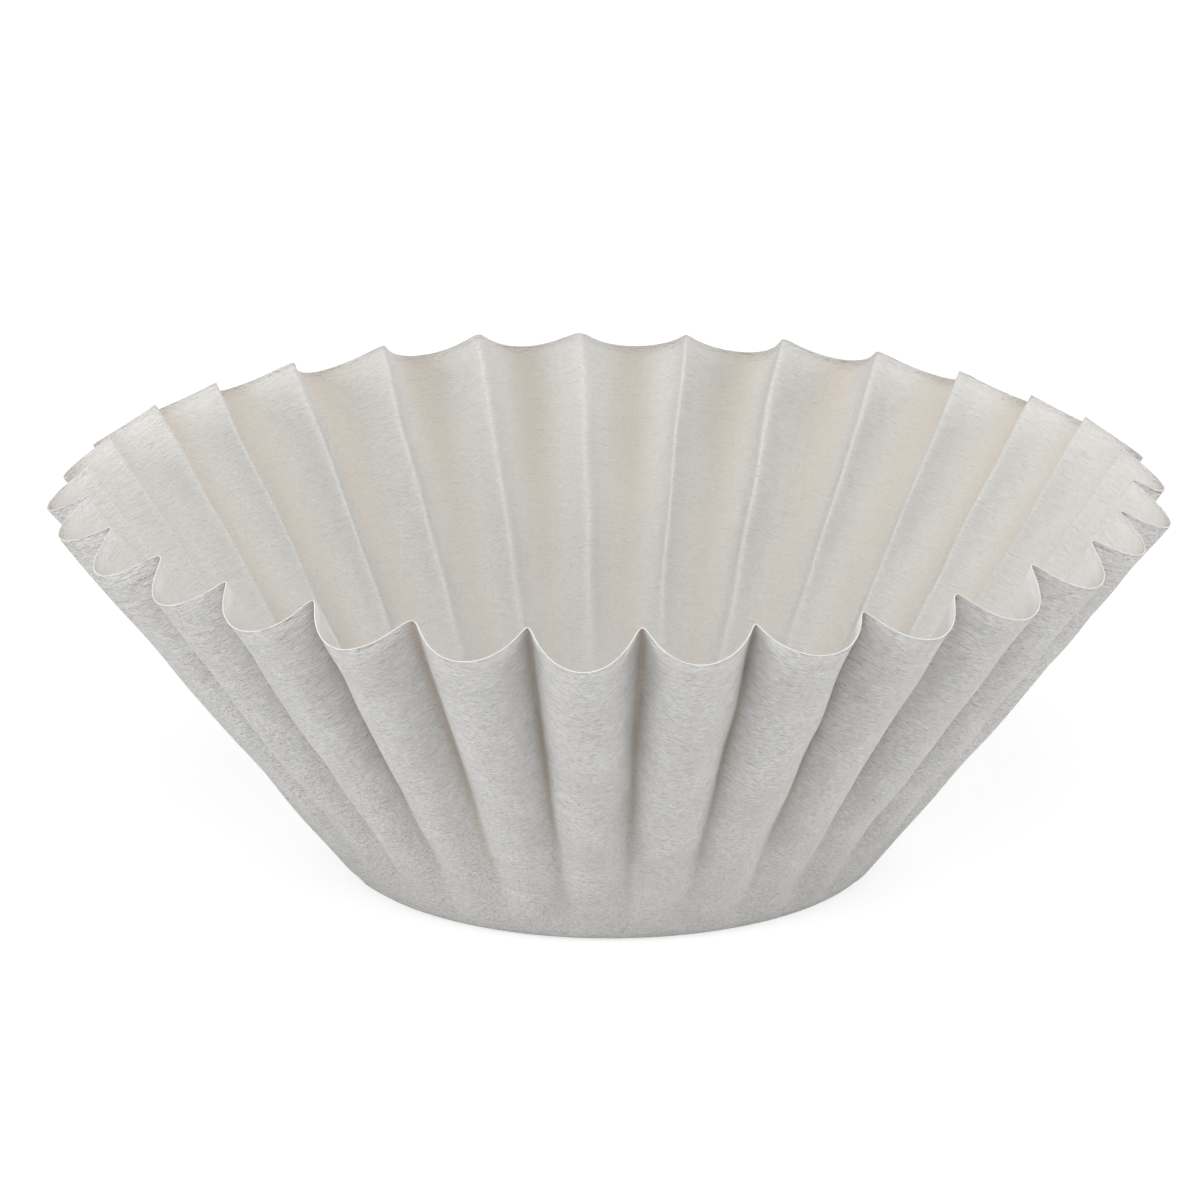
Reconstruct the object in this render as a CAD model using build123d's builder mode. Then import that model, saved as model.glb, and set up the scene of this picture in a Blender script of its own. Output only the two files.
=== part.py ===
from build123d import *

import os
from math import atan2, cos, degrees, hypot, pi, radians, sin, tan

# A basket coffee filter, pressed from one round sheet of filter paper: a flat round
# bottom and a sloping wall. Paper doesn't shrink, so the wall takes up the sheet's extra
# length in flutes that deepen towards the rim, round lobes outside with tight valleys
# between them. The origin is the centre of the bottom's underside, and +Z runs up the
# filter's axis.

# Driving dimensions, in millimetres and degrees
sheet_diameter = 250.0  # the round sheet, before it is pressed
base_diameter = 90.0  # the flat bottom, measured where its plane meets the wall's cone
paper_thickness = 0.15
wall_angle = 54.7  # slope of the wall's mean cone, above the horizontal
flute_count = 30
corner_radius = 5.0  # outside radius of the bend between the bottom and the wall
smooth_collar = 1.0  # wall above the bend, along its slope, that has no flutes yet

# A flute is drawn as a trochoid. Its turn runs from 0 on one lobe, through pi in the
# valley, to 2 pi on the next lobe, and the pinch draws the curve in towards the valley:
# 0 is an even wave, and towards 1 the lobes broaden and the valleys close up.
valley_pinch = 0.6
flute_levels = (0.06, 0.15, 0.30, 0.50, 0.75, 1.00)  # shares of the wall where a section is set
flute_points = 28  # spans of the curve that draws one flute

# What follows from them
slope = radians(wall_angle)
base_radius = base_diameter / 2
flute_angle = 2 * pi / flute_count
bend_tangent = corner_radius * tan(slope / 2)  # from the sharp corner to where the bend ends
bend_saving = 2 * bend_tangent - corner_radius * slope  # paper saved by cutting the corner
wall_slant = (sheet_diameter - base_diameter) / 2 + bend_saving
rim_radius = base_radius + wall_slant * cos(slope)
rim_height = wall_slant * sin(slope)
flutes_start = bend_tangent + smooth_collar


def flute_length(radius, depth, steps=60):
    """Length of one flute round the wall, displaced by depth either way, square to it."""
    length = 0.0
    for step in range(steps):
        turn = 2 * pi * (step + 0.5) / steps
        around = (radius + depth * cos(turn) * sin(slope)) * (1 + valley_pinch * cos(turn))
        length += hypot(around / flute_count, depth * sin(turn)) * 2 * pi / steps
    return length


def flute_depth(slant):
    """The depth that takes up the sheet's own length at a distance up the wall."""
    radius = base_radius + slant * cos(slope)
    sheet_length = (base_radius + slant - bend_saving) * flute_angle
    shallow, deep = 0.0, radius * flute_angle
    while deep - shallow > 1e-6:
        middle = (shallow + deep) / 2
        if flute_length(radius, middle) < sheet_length:
            shallow = middle
        else:
            deep = middle
    return shallow


def flute_section(slant, depth):
    """One flute's paper, cut level at a distance up the wall."""
    radius = base_radius + slant * cos(slope)
    swing = depth / sin(slope)  # a level cut crosses the sloping flute at a slant
    outside, inside = [], []
    for step in range(flute_points + 1):
        turn = 2 * pi * step / flute_points
        angle = (turn + valley_pinch * sin(turn)) / flute_count
        outward, around = Vector(cos(angle), sin(angle)), Vector(-sin(angle), cos(angle))
        reach = radius + swing * cos(turn)
        sweep = -swing * sin(turn) * flute_count / (1 + valley_pinch * cos(turn))
        normal = (outward * reach - around * sweep).normalized()
        lean = hypot(1, normal.dot(outward) / tan(slope))  # level thickness over the paper's own
        outside.append(outward * reach)
        inside.append(outward * reach - normal * paper_thickness * lean)
    with BuildSketch(Plane.XY.offset(slant * sin(slope))) as section:
        with BuildLine():
            outer = Spline(outside)
            inner = Spline(inside)
            Line(outer @ 0, inner @ 0)
            Line(outer @ 1, inner @ 1)
        make_face()
    return section.sketch


# One flute and its slice of the bottom, from the middle of a lobe to the middle of the next
with BuildPart() as wedge:
    # The flat bottom, its bend and a little of the wall
    with BuildSketch(Plane.XZ):
        with BuildLine():
            wall_end = (
                base_radius + 2 * flutes_start * cos(slope),
                2 * flutes_start * sin(slope),
            )
            FilletPolyline((0, 0), (base_radius, 0), wall_end, radius=corner_radius)
            offset(amount=paper_thickness, side=Side.LEFT)
        make_face()
    revolve(axis=Axis.Z, revolution_arc=degrees(flute_angle))
    split(bisect_by=Plane.XY.offset(flutes_start * sin(slope)), keep=Keep.BOTTOM)
    # The flute grows from there, past the rim by as much as its lobes and valleys swing
    rim_depth = flute_depth(wall_slant)
    top_slant = wall_slant + 2 * rim_depth
    sections = [wedge.faces().sort_by(Axis.Z)[-1]]
    for share in flute_levels:
        slant = flutes_start + share * (top_slant - flutes_start)
        sections.append(flute_section(slant, flute_depth(slant)))
    loft(sections)
    # The sheet's edge runs square to the wall, so the lobes end lower than the valleys
    with BuildSketch(Plane.XZ):
        with Locations((rim_radius, rim_height)):
            Rectangle(
                6 * rim_depth,
                6 * rim_depth,
                rotation=wall_angle - 90,
                align=(Align.CENTER, Align.MIN),
            )
    revolve(axis=Axis.Z, mode=Mode.SUBTRACT)

# The whole sheet: the wedge's skin without its two cut ends, repeated and closed up
skin = []
for face in wedge.faces():
    middle = face.center()
    if 0.1 < atan2(middle.Y, middle.X) / flute_angle < 0.9:  # a cut end's is at 0 or 1
        skin += [face.rotate(Axis.Z, degrees(n * flute_angle)) for n in range(flute_count)]
with BuildPart() as coffee_filter:
    add(Solid(Shell(skin)), clean=False)  # cleaning would join the rim into one crooked face

coffee_filter.part.label = "coffee_filter"
os.makedirs("parts", exist_ok=True)
export_step(coffee_filter.part, "parts/coffee_filter.step")
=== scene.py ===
import math

import bpy
import numpy as np
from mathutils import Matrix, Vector


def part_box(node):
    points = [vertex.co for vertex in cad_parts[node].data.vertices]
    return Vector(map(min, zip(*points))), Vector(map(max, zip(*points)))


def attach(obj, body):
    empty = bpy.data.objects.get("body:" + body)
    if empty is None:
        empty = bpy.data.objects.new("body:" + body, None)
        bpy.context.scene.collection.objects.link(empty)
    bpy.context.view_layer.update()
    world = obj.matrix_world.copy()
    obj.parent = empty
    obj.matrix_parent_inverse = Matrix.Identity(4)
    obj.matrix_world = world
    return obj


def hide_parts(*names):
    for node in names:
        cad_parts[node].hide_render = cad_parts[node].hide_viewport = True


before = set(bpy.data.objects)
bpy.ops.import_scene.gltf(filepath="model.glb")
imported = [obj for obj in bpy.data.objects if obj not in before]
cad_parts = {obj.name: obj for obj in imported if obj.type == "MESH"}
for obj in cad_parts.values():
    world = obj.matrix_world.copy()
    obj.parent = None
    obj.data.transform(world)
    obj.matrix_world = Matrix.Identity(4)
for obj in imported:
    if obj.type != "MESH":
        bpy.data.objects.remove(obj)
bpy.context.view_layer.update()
low, high = (Vector(corner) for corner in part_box("coffee_filter"))
print("frame loaded, the filter's box is", tuple(low), tuple(high))


# one round sheet of filter paper pressed into flutes, in metres
sheet = {
    "fluteCount": 30,
    "bottomRadius": 0.045,  # where the bottom's plane meets the wall's cone
    "bendRadius": 0.005,
    "paperThickness": 0.00015,
    "rimDepth": 0.0039,  # how far the flutes swing either way at the rim
    "valleyPinch": 0.62,  # 0 is an even wave, towards 1 the lobes broaden and the valleys close up
    "collar": 0.001,  # wall above the bend that has no flutes yet
    "softShare": 0.6,  # share of the wall over which the flutes grow from soft waves to tight valleys
    "softDepth": 0.62,  # how deep those soft waves are, as a share of what the paper's length asks for
    "softPinch": 0.25,  # how much of the valley pinch those soft waves have
    "stepsPerFlute": 34,
    "bottomRings": 7,
    "bendRings": 6,
    "wallRings": 28,
    "seed": 7,
    # how far the flutes differ, and in how many waves round the filter
    "uneven": {
        "spacing": (0.10, (2, 3, 5, 7, 11)),  # in radians of one flute
        "depth": (0.06, (1, 4, 6, 9, 13)),  # as a share of the mean depth
        "pinch": (0.08, (3, 7, 10, 12)),
        "rim": (0.00025, (3, 8, 14, 23)),
    },
    "rimPower": 3,  # a higher one keeps the rim's ups and downs nearer to its edge
    # valleys wander sideways (in radians of one flute) and lobes are dented by handling
    "wander": {"size": 0.05, "waves": 8, "around": (4, 16), "climb": (60, 260), "usualSum": 2},
    "dents": {"size": 0.00016, "waves": 14, "around": (6, 40), "climb": (60, 420), "usualSum": 2.6},
    "settling": 3,  # how fast wander and dents come in: at 3 they are full a third of the way up
    "placeLength": 0.05,  # distance up the wall over which the paper's texture moves on by 1
    # both sides of the paper: the outside is crimped harder, the inside is smoother and warmer, and each
    # side carries painted shade in its folds and crepe hollows
    "inside": {
        "colour": (0.71, 0.70, 0.68, 1),
        "cloudColour": (0.685, 0.67, 0.642, 1),
        "foldShade": "innerFoldShade",
        "foldShadeColour": (0.61, 0.565, 0.505, 1),
        "creviceShade": 0.07,  # painted shade: how much darker the crepe's hollows are
        "crepeHeight": 0.0002,
        "rippleHeight": 0.0002,
        "grainHeight": 0.0001,
    },
    "outside": {
        "colour": (0.69, 0.684, 0.675, 1),
        "cloudColour": (0.605, 0.595, 0.578, 1),
        "foldShade": "outerFoldShade",
        "foldShadeColour": (0.43, 0.38, 0.335, 1),  # painted shade: the darker, warmer colour deep in the folds, where the paper shuts out light
        "creviceShade": 0.18,
        "crepeHeight": 0.0004,
        "rippleHeight": 0.0005,
        "grainHeight": 0.00017,
    },
    "outerFoldShadePower": 5,  # a higher one keeps the painted fold shade nearer to the valley's line
    "innerFoldShadePower": 2,
    "edgeHighlightColour": (0.84, 0.83, 0.81, 1),
    "roughness": 0.92,
    "specular": 0.2,
    # how fine each texture is in three directions, and how many finer layers it has
    "textures": {
        "ripple": ((26, 26, 62), 2),
        "crepe": ((100, 100, 200), 3),  # short ridges that run round the sheet
        "grain": ((3200, 3200, 3200), 2),  # single fibres
        "cloud": ((170, 170, 170), 6),
    },
    "textureDistortion": 0.5,
    "cloudRange": (0.35, 0.75),  # where in the cloud's noise the cloud colour starts and is full
    "creviceShadeRange": (0.65, 0.3),
}


def profileSizes():
    # the wall's mean cone, so that the fluted rim fills the frame's box
    outerRadius = (high.x - low.x) / 2
    height = high.z - low.z
    run = outerRadius - sheet["bottomRadius"]
    slope = math.atan2(height, run)
    tries = 20
    for _ in range(tries):
        run = outerRadius - sheet["rimDepth"] * math.sin(slope) - sheet["bottomRadius"]
        rise = height - sheet["rimDepth"] * math.cos(slope)
        slope = math.atan2(rise, run)
    return slope, math.hypot(run, rise)


wallSlope, wallLength = profileSizes()
print("wall slope", round(math.degrees(wallSlope), 2), "length", round(wallLength * 1000, 2), "mm")


def fluteLength(radius, depth):
    # how much longer than its circle a ring is, once it swings in and out by depth
    samples = 120
    turn = np.linspace(0, 2 * math.pi, samples, endpoint=False)
    swing = depth * np.cos(turn) * math.sin(wallSlope) / radius
    around = (1 + swing) * (1 + sheet["valleyPinch"] * np.cos(turn))
    return np.mean(np.hypot(around, depth * np.sin(turn) * sheet["fluteCount"] / radius))


def fluteDepth(along):
    # paper can't shrink: the flutes take up all that the cone is narrower than the flat sheet
    radius = sheet["bottomRadius"] + along * math.cos(wallSlope)
    flat = (sheet["bottomRadius"] + along) / radius
    shallow, deep = 0.0, radius
    halvings = 30
    for _ in range(halvings):
        middle = (shallow + deep) / 2
        if fluteLength(radius, middle) < flat:
            shallow = middle
        else:
            deep = middle
    return shallow


def stray(name, angle, random):
    # a smooth random curve round the filter
    size, waves = sheet["uneven"][name]
    total = np.zeros_like(angle)
    for count in waves:
        total += random.normal() * np.cos(count * angle + random.uniform(0, 2 * math.pi))
    return size * (total / math.sqrt(len(waves) / 2))


def slantingWaves(name, random):
    # each wave's number round the filter, its turn for each metre up the wall, and its start
    waves = []
    for _ in range(sheet[name]["waves"]):
        count = random.integers(*sheet[name]["around"])
        rate = random.uniform(*sheet[name]["climb"])
        waves.append((count, rate, random.uniform(0, 2 * math.pi)))
    return waves


def slanted(name, waves, angle, along):
    total = sum(np.cos(count * angle + rate * along + phase) for count, rate, phase in waves)
    return sheet[name]["size"] * total / sheet[name]["usualSum"]


def sheetRings():
    # (distance up the wall, mean radius, mean height) of each ring, from the middle to the rim
    tangent = sheet["bendRadius"] * math.tan(wallSlope / 2)
    flatRadius = sheet["bottomRadius"] - tangent
    rings = [(0, flatRadius * share, 0) for share in np.linspace(0, 1, sheet["bottomRings"])[1:]]
    for share in np.linspace(0, 1, sheet["bendRings"] + 1)[1:]:
        lean = wallSlope * share
        reach = flatRadius + sheet["bendRadius"] * math.sin(lean)
        rings.append((tangent * share * share, reach, sheet["bendRadius"] * (1 - math.cos(lean))))
    for share in np.linspace(0, 1, sheet["wallRings"] + 1)[1:]:
        along = tangent + (wallLength - tangent) * share
        reach = sheet["bottomRadius"] + along * math.cos(wallSlope)
        rings.append((along, reach, along * math.sin(wallSlope)))
    return rings


def joinRings(points):
    # a fan over the middle of the bottom, then a band of faces from each ring to the next
    around = len(points[0])
    faces = [(0, 1 + i, 1 + (i + 1) % around) for i in range(around)]
    for ring in range(len(points) - 1):
        first, second = 1 + ring * around, 1 + (ring + 1) * around
        for i in range(around):
            j = (i + 1) % around
            faces.append((first + i, second + i, second + j, first + j))
    mesh = bpy.data.meshes.new("filterPaper")
    mesh.from_pydata(np.concatenate([[[0, 0, 0]], *points]).tolist(), [], faces)
    return mesh


def buildSheet():
    random = np.random.default_rng(sheet["seed"])
    around = sheet["fluteCount"] * sheet["stepsPerFlute"]
    even = 2 * math.pi * np.arange(around) / around
    # equal steps of the wave's own turn crowd together in the valleys, where the paper bends sharply
    turn = sheet["fluteCount"] * even
    spacing = stray("spacing", even, random)
    depthShare = 1 + stray("depth", even, random)
    pinch = sheet["valleyPinch"] * (1 + stray("pinch", even, random))
    rimShift = stray("rim", even, random)
    dents = slantingWaves("dents", random)
    wanders = slantingWaves("wander", random)
    points, places, outerFoldShades, innerFoldShades = [], [], [], []
    for along, radius, height in sheetRings():
        upWall = min(max(along / wallLength, 0), 1)
        settled = min(upWall * sheet["settling"], 1)
        grown = min(upWall / sheet["softShare"], 1)
        grown = grown * grown * (3 - 2 * grown)  # eased in and out
        shift = spacing * upWall + slanted("wander", wanders, even, along) * settled
        closing = pinch * (sheet["softPinch"] + (1 - sheet["softPinch"]) * grown)
        angle = (turn + closing * np.sin(turn) + shift) / sheet["fluteCount"]
        aboveCollar = max(along - sheet["collar"], 0)
        fade = aboveCollar / (aboveCollar + sheet["collar"])
        fade *= sheet["softDepth"] + (1 - sheet["softDepth"]) * grown
        swing = fluteDepth(along) * fade * depthShare * np.cos(turn) if along > 0 else 0 * angle
        swing = swing + slanted("dents", dents, even, along) * settled
        lift = rimShift * upWall ** sheet["rimPower"]
        reach = radius + swing * math.sin(wallSlope) + lift * math.cos(wallSlope)
        up = height - swing * math.cos(wallSlope) + lift * math.sin(wallSlope)
        points.append(np.stack([reach * np.cos(angle), reach * np.sin(angle), up], axis=1))
        # where each point lies on the sheet: flat across the bottom, then (angle, distance up the wall)
        inward = min(radius / sheet["bottomRadius"], 1) if along == 0 else 1
        upPlace = np.full_like(angle, along / sheet["placeLength"])
        places.append(np.stack([inward * np.cos(angle), inward * np.sin(angle), upPlace], axis=1))
        # painted shade masks: the outside's valleys, and the inside's hollows behind the lobes, where
        # the folds shut out light
        outerFoldShades.append(np.clip(-np.cos(turn), 0, 1) ** sheet["outerFoldShadePower"] * grown)
        innerFoldShades.append(np.clip(np.cos(turn), 0, 1) ** sheet["innerFoldShadePower"] * math.sqrt(upWall))
    mesh = joinRings(points)
    place = mesh.attributes.new("sheetPlace", "FLOAT_VECTOR", "POINT")
    place.data.foreach_set("vector", np.concatenate([[[0, 0, 0]], *places]).ravel())
    for name, foldShades in (("outerFoldShade", outerFoldShades), ("innerFoldShade", innerFoldShades)):
        foldShade = mesh.attributes.new(name, "FLOAT", "POINT")
        foldShade.data.foreach_set("value", np.concatenate([[0], *foldShades]))
    mesh.shade_smooth()
    return mesh


filterPaper = bpy.data.objects.new("filterPaper", buildSheet())
bpy.context.scene.collection.objects.link(filterPaper)
thickness = filterPaper.modifiers.new("paper thickness", "SOLIDIFY")
thickness.thickness = sheet["paperThickness"]
thickness.offset = 1
thickness.use_even_offset = True
print("sheet built", len(filterPaper.data.polygons), "faces")


def textureOver(material, place, name):
    # a noise stretched over the paper
    nodes, links = material.node_tree.nodes, material.node_tree.links
    fineness, layers = sheet["textures"][name]
    stretch = nodes.new("ShaderNodeVectorMath")
    stretch.operation = "MULTIPLY"
    stretch.inputs[1].default_value = fineness
    links.new(place, stretch.inputs[0])
    noise = nodes.new("ShaderNodeTexNoise")
    noise.inputs["Scale"].default_value = 1
    noise.inputs["Detail"].default_value = layers
    noise.inputs["Distortion"].default_value = sheet["textureDistortion"]
    links.new(stretch.outputs["Vector"], noise.inputs["Vector"])
    return noise.outputs["Fac"]


def bumpOn(material, height, distance, under=None):
    bump = material.node_tree.nodes.new("ShaderNodeBump")
    bump.inputs["Distance"].default_value = distance
    material.node_tree.links.new(height, bump.inputs["Height"])
    if under:
        material.node_tree.links.new(under, bump.inputs["Normal"])
    return bump.outputs["Normal"]


def blendColours(material, share, first, second):
    # each colour is a fixed one or another node's output
    mix = material.node_tree.nodes.new("ShaderNodeMix")
    mix.data_type = "RGBA"
    for socket, colour in (("A", first), ("B", second)):
        if isinstance(colour, tuple):
            mix.inputs[socket].default_value = colour
        else:
            material.node_tree.links.new(colour, mix.inputs[socket])
    material.node_tree.links.new(share, mix.inputs["Factor"])
    return mix.outputs["Result"]


def spread(material, value, ends):
    # stretches the part of a noise between the two ends to run from 0 to 1
    ramp = material.node_tree.nodes.new("ShaderNodeMapRange")
    ramp.inputs["From Min"].default_value = ends[0]
    ramp.inputs["From Max"].default_value = ends[1]
    material.node_tree.links.new(value, ramp.inputs["Value"])
    return ramp.outputs["Result"]


def attribute(material, name, output):
    node = material.node_tree.nodes.new("ShaderNodeAttribute")
    node.attribute_name = name
    return node.outputs[output]


def paperMaterial(sideName):
    side = sheet[sideName]
    material = bpy.data.materials.new("filter paper " + sideName)
    material.use_nodes = True
    nodes, links = material.node_tree.nodes, material.node_tree.links
    shader = nodes["Principled BSDF"]
    shader.inputs["Roughness"].default_value = sheet["roughness"]
    shader.inputs["Specular IOR Level"].default_value = sheet["specular"]
    place = attribute(material, "sheetPlace", "Vector")
    spot = nodes.new("ShaderNodeTexCoord").outputs["Object"]
    ripple = textureOver(material, place, "ripple")
    crepe = textureOver(material, place, "crepe")
    grain = textureOver(material, spot, "grain")
    normal = bumpOn(material, ripple, side["rippleHeight"])
    normal = bumpOn(material, crepe, side["crepeHeight"], normal)
    normal = bumpOn(material, grain, side["grainHeight"], normal)
    links.new(normal, shader.inputs["Normal"])
    # faint cloudiness in the felted fibres, then painted shade: darker hollows in the crepe and darker,
    # warmer folds
    cloud = spread(material, textureOver(material, spot, "cloud"), sheet["cloudRange"])
    colour = blendColours(material, cloud, side["colour"], side["cloudColour"])
    # painted shade in the crepe's hollows, darker where the crepe's noise is low
    hollowShade = spread(material, crepe, sheet["creviceShadeRange"])
    hollowShadeColour = tuple(channel * (1 - side["creviceShade"]) for channel in side["cloudColour"][:3]) + (1,)
    colour = blendColours(material, hollowShade, colour, hollowShadeColour)
    # painted shade: the fold mask turns the colour towards the darker, warmer fold shade
    colour = blendColours(material, attribute(material, side["foldShade"], "Fac"), colour, side["foldShadeColour"])
    links.new(colour, shader.inputs["Base Color"])
    return material


def litEdgeMaterial():
    # painted highlight: the cut edge is paler than the paper's faces, standing in for light through the
    # thin rim
    material = bpy.data.materials.new("cut edge painted highlight")
    material.use_nodes = True
    shader = material.node_tree.nodes["Principled BSDF"]
    shader.inputs["Base Color"].default_value = sheet["edgeHighlightColour"]
    shader.inputs["Roughness"].default_value = sheet["roughness"]
    return material


for material in (paperMaterial("inside"), paperMaterial("outside"), litEdgeMaterial()):
    filterPaper.data.materials.append(material)
thickness.material_offset = 1
thickness.material_offset_rim = 2
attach(filterPaper, "root")
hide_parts("coffee_filter")
print("paper finished")


room = {
    "floorSize": 8.0,
    "floorGap": 0.0001,  # paper never lies quite flat
    "floorColour": (0.98, 0.98, 0.98, 1),
    "seenFloorColour": (0.35, 0.35, 0.35, 1),
    "seenFloorGlow": 0.76,  # what the seen floor adds of its own, so that it is white outside the shadow
    "skyStrength": 0.36,
    "lampSize": 1.0,
    "lamps": {  # where each soft box stands, and its power in watts
        "left box": ((-1.3, -0.6, 0.3), 12.5),
        "right box": ((1.3, -0.5, 0.3), 10.5),
        "front box": ((-0.1, -0.9, 1.1), 11.0),
        "back box": ((0.3, 1.4, 0.5), 8.0),
    },
}


def seenOrLit(tree):
    # 1 where the camera, a mirror or clear glass looks at it, 0 where it only lights things
    rays = tree.nodes.new("ShaderNodeLightPath")
    seen = rays.outputs["Is Camera Ray"]
    for kind in ("Is Glossy Ray", "Is Transmission Ray"):
        total = tree.nodes.new("ShaderNodeMath")
        total.use_clamp = True
        tree.links.new(seen, total.inputs[0])
        tree.links.new(rays.outputs[kind], total.inputs[1])
        seen = total.outputs["Value"]
    return seen


def buildFloor():
    bpy.ops.mesh.primitive_plane_add(size=room["floorSize"], location=(0, 0, low.z - room["floorGap"]))
    floor = bpy.context.object
    floor.name = "floor"
    material = bpy.data.materials.new("pale floor")
    material.use_nodes = True
    nodes, links = material.node_tree.nodes, material.node_tree.links
    shader = nodes["Principled BSDF"]
    shader.inputs["Roughness"].default_value = 1
    shader.inputs["Specular IOR Level"].default_value = 0
    seen = seenOrLit(material.node_tree)
    colour = blendColours(material, seen, room["floorColour"], room["seenFloorColour"])
    links.new(colour, shader.inputs["Base Color"])
    glow = nodes.new("ShaderNodeMath")
    glow.operation = "MULTIPLY"
    glow.inputs[1].default_value = room["seenFloorGlow"]
    links.new(seen, glow.inputs[0])
    shader.inputs["Emission Color"].default_value = (1, 1, 1, 1)
    links.new(glow.outputs["Value"], shader.inputs["Emission Strength"])
    floor.data.materials.append(material)


def buildLight():
    world = bpy.data.worlds.new("pale room")
    bpy.context.scene.world = world
    world.use_nodes = True
    nodes, links = world.node_tree.nodes, world.node_tree.links
    strength = nodes.new("ShaderNodeMapRange")
    strength.inputs["To Min"].default_value = room["skyStrength"]
    strength.inputs["To Max"].default_value = 1
    links.new(seenOrLit(world.node_tree), strength.inputs["Value"])
    background = nodes["Background"]
    background.inputs["Color"].default_value = (1, 1, 1, 1)
    links.new(strength.outputs["Result"], background.inputs["Strength"])
    for name, (place, power) in room["lamps"].items():
        lamp = bpy.data.lights.new(name, "AREA")
        lamp.size = room["lampSize"]
        lamp.energy = power
        holder = bpy.data.objects.new(name, lamp)
        holder.location = place
        # every box faces the middle of the filter's bottom
        holder.rotation_euler = (-holder.location).to_track_quat("-Z", "Y").to_euler()
        bpy.context.scene.collection.objects.link(holder)


view = {
    "azimuth": -3.33,  # degrees round the filter from straight in front
    "elevation": 16.6,
    "distance": 1.425,  # from the middle of the rim
    "lens": 251.4,
    "sensorWidth": 36,
    "nearest": 0.05,
    "aimBelowRim": 0.0195,
    "aimLeft": 0.0016,
}


def buildCamera():
    camera = bpy.data.cameras.new("camera")
    camera.lens = view["lens"]
    camera.sensor_width = view["sensorWidth"]
    camera.clip_start = view["nearest"]
    holder = bpy.data.objects.new("camera", camera)
    bpy.context.scene.collection.objects.link(holder)
    rimMiddle = Vector((0, 0, low.z + wallLength * math.sin(wallSlope)))
    azimuth, elevation = math.radians(view["azimuth"]), math.radians(view["elevation"])
    away = Vector((math.sin(azimuth), -math.cos(azimuth), 0)) * math.cos(elevation)
    away.z = math.sin(elevation)
    right = Vector((math.cos(azimuth), math.sin(azimuth), 0))
    up = right.cross(-away)
    holder.location = rimMiddle + away * view["distance"]
    target = rimMiddle - right * view["aimLeft"] - up * view["aimBelowRim"]
    holder.rotation_mode = "QUATERNION"
    holder.rotation_quaternion = (target - holder.location).to_track_quat("-Z", "Y")
    bpy.context.scene.camera = holder


buildFloor()
buildLight()
buildCamera()
bpy.context.scene.view_settings.view_transform = "Standard"
print("room, light and camera set")
